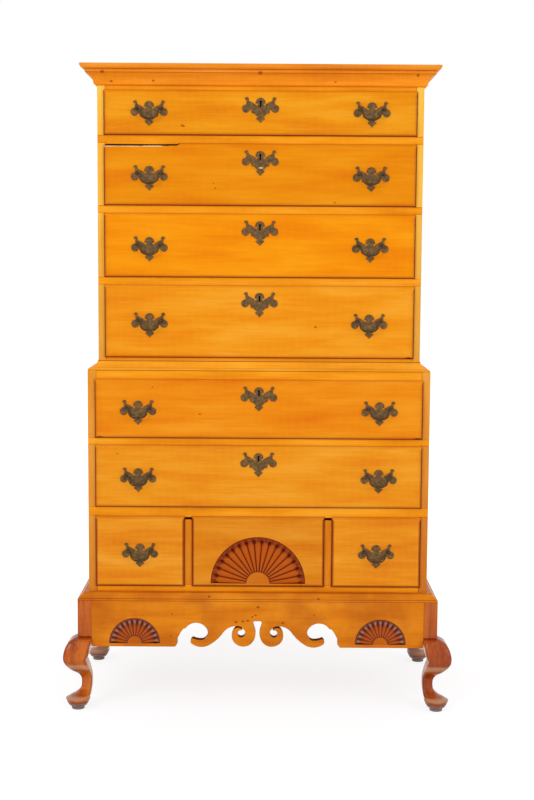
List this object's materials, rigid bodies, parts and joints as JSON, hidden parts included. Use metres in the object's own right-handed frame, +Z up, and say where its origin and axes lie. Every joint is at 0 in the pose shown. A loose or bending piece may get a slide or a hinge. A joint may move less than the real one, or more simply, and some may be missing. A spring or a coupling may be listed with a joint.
{
  "type": "highboy",
  "caption": "Tall maple chest of drawers on a scrolled frame with bent legs, carved fans, lipped drawers, drop pulls and lock bolts that move.",
  "frame": {"origin": "on the floor, midway between the four feet", "axes": "+Z up, -Y out of the drawer fronts towards the viewer, +X to the viewer's right"},
  "size_m": [1.1088, 0.5688, 1.825],
  "materials": {
    "maple_case": "shellac over maple, worn amber",
    "maple_front": "shellac over maple, polished amber",
    "maple_frame": "shellac over maple, darker red brown",
    "pine": "bare planed pine",
    "brass": "old brass gone brown",
    "iron": "filed iron, dull"
  },
  "bodies": {
    "carcase": {"back_boards": "pine", "cabriole_legs": "maple_frame", "cornice_moulding": "maple_case", "drawer_runners": "pine", "frame_apron": "maple_frame", "frame_moulding": "maple_frame", "frame_rails": "maple_frame", "lower_case_boards": "pine", "lower_case_sides": "maple_case", "lower_drawer_rails": "maple_case", "upper_case_boards": "pine", "upper_case_sides": "maple_case", "upper_drawer_rails": "maple_case", "waist_moulding": "maple_case"},
    "drawer_1": {"drawer_1_front": "maple_front", "drawer_1_box": "pine", "drawer_1_brasses": "brass"},
    "drawer_2": {"drawer_2_front": "maple_front", "drawer_2_box": "pine", "drawer_2_brasses": "brass"},
    "drawer_3": {"drawer_3_front": "maple_front", "drawer_3_box": "pine", "drawer_3_brasses": "brass"},
    "drawer_4": {"drawer_4_front": "maple_front", "drawer_4_box": "pine", "drawer_4_brasses": "brass"},
    "drawer_5": {"drawer_5_front": "maple_front", "drawer_5_box": "pine", "drawer_5_brasses": "brass"},
    "drawer_6": {"drawer_6_front": "maple_front", "drawer_6_box": "pine", "drawer_6_brasses": "brass"},
    "drawer_fan": {"drawer_fan_front": "maple_front", "drawer_fan_box": "pine"},
    "drawer_small_left": {"drawer_small_left_front": "maple_front", "drawer_small_left_box": "pine", "drawer_small_left_brasses": "brass"},
    "drawer_small_right": {"drawer_small_right_front": "maple_front", "drawer_small_right_box": "pine", "drawer_small_right_brasses": "brass"},
    "drawer_1_left_bail": {"drawer_1_left_bail": "brass"},
    "drawer_1_right_bail": {"drawer_1_right_bail": "brass"},
    "drawer_2_left_bail": {"drawer_2_left_bail": "brass"},
    "drawer_2_right_bail": {"drawer_2_right_bail": "brass"},
    "drawer_3_left_bail": {"drawer_3_left_bail": "brass"},
    "drawer_3_right_bail": {"drawer_3_right_bail": "brass"},
    "drawer_4_left_bail": {"drawer_4_left_bail": "brass"},
    "drawer_4_right_bail": {"drawer_4_right_bail": "brass"},
    "drawer_5_left_bail": {"drawer_5_left_bail": "brass"},
    "drawer_5_right_bail": {"drawer_5_right_bail": "brass"},
    "drawer_6_left_bail": {"drawer_6_left_bail": "brass"},
    "drawer_6_right_bail": {"drawer_6_right_bail": "brass"},
    "drawer_small_left_bail": {"drawer_small_left_bail": "brass"},
    "drawer_small_right_bail": {"drawer_small_right_bail": "brass"},
    "drawer_1_lock_bolt": {"drawer_1_lock_bolt": "iron"},
    "drawer_2_lock_bolt": {"drawer_2_lock_bolt": "iron"},
    "drawer_3_lock_bolt": {"drawer_3_lock_bolt": "iron"},
    "drawer_4_lock_bolt": {"drawer_4_lock_bolt": "iron"},
    "drawer_5_lock_bolt": {"drawer_5_lock_bolt": "iron"},
    "drawer_6_lock_bolt": {"drawer_6_lock_bolt": "iron"}
  },
  "joints": [
    {"name": "drawer_1_slide", "type": "slide", "parent": "carcase", "child": "drawer_1", "axis": [0, -1, 0], "range_m": [0, 0.3]},
    {"name": "drawer_2_slide", "type": "slide", "parent": "carcase", "child": "drawer_2", "axis": [0, -1, 0], "range_m": [0, 0.3]},
    {"name": "drawer_3_slide", "type": "slide", "parent": "carcase", "child": "drawer_3", "axis": [0, -1, 0], "range_m": [0, 0.3]},
    {"name": "drawer_4_slide", "type": "slide", "parent": "carcase", "child": "drawer_4", "axis": [0, -1, 0], "range_m": [0, 0.3]},
    {"name": "drawer_5_slide", "type": "slide", "parent": "carcase", "child": "drawer_5", "axis": [0, -1, 0], "range_m": [0, 0.32]},
    {"name": "drawer_6_slide", "type": "slide", "parent": "carcase", "child": "drawer_6", "axis": [0, -1, 0], "range_m": [0, 0.32]},
    {"name": "drawer_fan_slide", "type": "slide", "parent": "carcase", "child": "drawer_fan", "axis": [0, -1, 0], "range_m": [0, 0.32]},
    {"name": "drawer_small_left_slide", "type": "slide", "parent": "carcase", "child": "drawer_small_left", "axis": [0, -1, 0], "range_m": [0, 0.32]},
    {"name": "drawer_small_right_slide", "type": "slide", "parent": "carcase", "child": "drawer_small_right", "axis": [0, -1, 0], "range_m": [0, 0.32]},
    {"name": "drawer_1_left_bail_swing", "type": "hinge", "parent": "drawer_1", "child": "drawer_1_left_bail", "pos_m": [-0.311, -0.209, 1.70531], "axis": [-1, 0, 0], "range_deg": [-17, 150]},
    {"name": "drawer_1_right_bail_swing", "type": "hinge", "parent": "drawer_1", "child": "drawer_1_right_bail", "pos_m": [0.311, -0.209, 1.70531], "axis": [-1, 0, 0], "range_deg": [-17, 150]},
    {"name": "drawer_2_left_bail_swing", "type": "hinge", "parent": "drawer_2", "child": "drawer_2_left_bail", "pos_m": [-0.311, -0.209, 1.52681], "axis": [-1, 0, 0], "range_deg": [-17, 150]},
    {"name": "drawer_2_right_bail_swing", "type": "hinge", "parent": "drawer_2", "child": "drawer_2_right_bail", "pos_m": [0.311, -0.209, 1.52681], "axis": [-1, 0, 0], "range_deg": [-17, 150]},
    {"name": "drawer_3_left_bail_swing", "type": "hinge", "parent": "drawer_3", "child": "drawer_3_left_bail", "pos_m": [-0.311, -0.209, 1.32881], "axis": [-1, 0, 0], "range_deg": [-17, 150]},
    {"name": "drawer_3_right_bail_swing", "type": "hinge", "parent": "drawer_3", "child": "drawer_3_right_bail", "pos_m": [0.311, -0.209, 1.32881], "axis": [-1, 0, 0], "range_deg": [-17, 150]},
    {"name": "drawer_4_left_bail_swing", "type": "hinge", "parent": "drawer_4", "child": "drawer_4_left_bail", "pos_m": [-0.311, -0.209, 1.11456], "axis": [-1, 0, 0], "range_deg": [-17, 150]},
    {"name": "drawer_4_right_bail_swing", "type": "hinge", "parent": "drawer_4", "child": "drawer_4_right_bail", "pos_m": [0.311, -0.209, 1.11456], "axis": [-1, 0, 0], "range_deg": [-17, 150]},
    {"name": "drawer_5_left_bail_swing", "type": "hinge", "parent": "drawer_5", "child": "drawer_5_left_bail", "pos_m": [-0.342, -0.2375, 0.86831], "axis": [-1, 0, 0], "range_deg": [-17, 150]},
    {"name": "drawer_5_right_bail_swing", "type": "hinge", "parent": "drawer_5", "child": "drawer_5_right_bail", "pos_m": [0.342, -0.2375, 0.86831], "axis": [-1, 0, 0], "range_deg": [-17, 150]},
    {"name": "drawer_6_left_bail_swing", "type": "hinge", "parent": "drawer_6", "child": "drawer_6_left_bail", "pos_m": [-0.342, -0.2375, 0.67506], "axis": [-1, 0, 0], "range_deg": [-17, 150]},
    {"name": "drawer_6_right_bail_swing", "type": "hinge", "parent": "drawer_6", "child": "drawer_6_right_bail", "pos_m": [0.342, -0.2375, 0.67506], "axis": [-1, 0, 0], "range_deg": [-17, 150]},
    {"name": "drawer_small_left_bail_swing", "type": "hinge", "parent": "drawer_small_left", "child": "drawer_small_left_bail", "pos_m": [-0.33775, -0.2375, 0.45756], "axis": [-1, 0, 0], "range_deg": [-17, 150]},
    {"name": "drawer_small_right_bail_swing", "type": "hinge", "parent": "drawer_small_right", "child": "drawer_small_right_bail", "pos_m": [0.33775, -0.2375, 0.45756], "axis": [-1, 0, 0], "range_deg": [-17, 150]},
    {"name": "drawer_1_lock_bolt_throw", "type": "slide", "parent": "drawer_1", "child": "drawer_1_lock_bolt", "axis": [0, 0, 1], "range_m": [0, 0.008]},
    {"name": "drawer_2_lock_bolt_throw", "type": "slide", "parent": "drawer_2", "child": "drawer_2_lock_bolt", "axis": [0, 0, 1], "range_m": [0, 0.008]},
    {"name": "drawer_3_lock_bolt_throw", "type": "slide", "parent": "drawer_3", "child": "drawer_3_lock_bolt", "axis": [0, 0, 1], "range_m": [0, 0.008]},
    {"name": "drawer_4_lock_bolt_throw", "type": "slide", "parent": "drawer_4", "child": "drawer_4_lock_bolt", "axis": [0, 0, 1], "range_m": [0, 0.008]},
    {"name": "drawer_5_lock_bolt_throw", "type": "slide", "parent": "drawer_5", "child": "drawer_5_lock_bolt", "axis": [0, 0, 1], "range_m": [0, 0.008]},
    {"name": "drawer_6_lock_bolt_throw", "type": "slide", "parent": "drawer_6", "child": "drawer_6_lock_bolt", "axis": [0, 0, 1], "range_m": [0, 0.008]}
  ]
}
